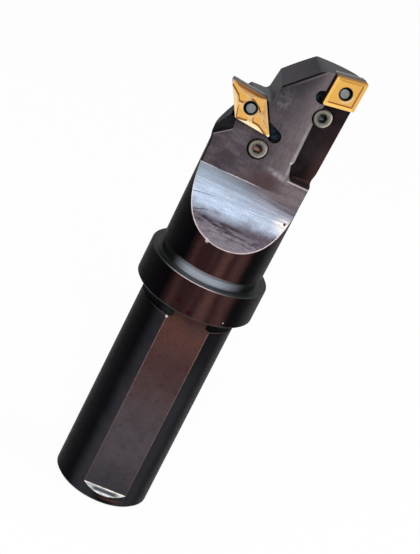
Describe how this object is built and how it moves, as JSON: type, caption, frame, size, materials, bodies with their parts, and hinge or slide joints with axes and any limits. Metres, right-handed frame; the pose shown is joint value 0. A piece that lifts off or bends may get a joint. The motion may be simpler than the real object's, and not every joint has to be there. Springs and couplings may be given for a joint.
{
  "type": "boring bar",
  "caption": "Boring bar with a round collared shank, a clamping flat and a milled head whose rhombic cutting inserts are held on seats by lever-lock clamps.",
  "frame": {"origin": "centre of the shank's end face", "axes": "+Z along the bar's axis from the shank to the cutting head; -Y is the side that the rake faces and the clamping flat look to; +X is the side of the right-hand seat"},
  "size_m": [0.05, 0.05, 0.2042],
  "materials": {
    "bar_steel": "blackened on the turned faces, worn bright in the gash",
    "insert_coating": "gold-coloured hard coating",
    "carbide": "ground",
    "clamp_steel": "satin"
  },
  "bodies": {
    "bar": {"bar_body": "bar_steel", "left_insert": "insert_coating", "left_shim": "carbide", "left_shim_pin": "clamp_steel", "right_insert": "insert_coating", "right_shim": "carbide", "right_shim_pin": "clamp_steel"},
    "left_clamp_lever": {"left_lever": "clamp_steel"},
    "left_clamp_screw": {"left_lever_screw": "clamp_steel"},
    "right_clamp_lever": {"right_lever": "clamp_steel"},
    "right_clamp_screw": {"right_lever_screw": "clamp_steel"}
  },
  "joints": [
    {"name": "left_screw_travel", "type": "slide", "parent": "bar", "child": "left_clamp_screw", "axis": [-0.104, -0.9891, 0.104], "range_m": [0, 0.00115]},
    {"name": "left_lever_swing", "type": "hinge", "parent": "bar", "child": "left_clamp_lever", "pos_m": [-0.01233, 0.00986, 0.17612], "axis": [-0.8322, 0.0293, -0.5537], "range_deg": [0, 4.5]},
    {"name": "right_screw_travel", "type": "slide", "parent": "bar", "child": "right_clamp_screw", "axis": [0.104, -0.9891, 0.104], "range_m": [0, 0.00087]},
    {"name": "right_lever_swing", "type": "hinge", "parent": "bar", "child": "right_clamp_lever", "pos_m": [0.01666, 0.01038, 0.19653], "axis": [-0.9629, -0.0739, 0.2595], "range_deg": [0, 4.5]}
  ],
  "couplings": [
    {"joint": "left_lever_swing", "follows": "left_screw_travel", "rad_per_m": 68.12},
    {"joint": "right_lever_swing", "follows": "right_screw_travel", "rad_per_m": 90.253}
  ]
}
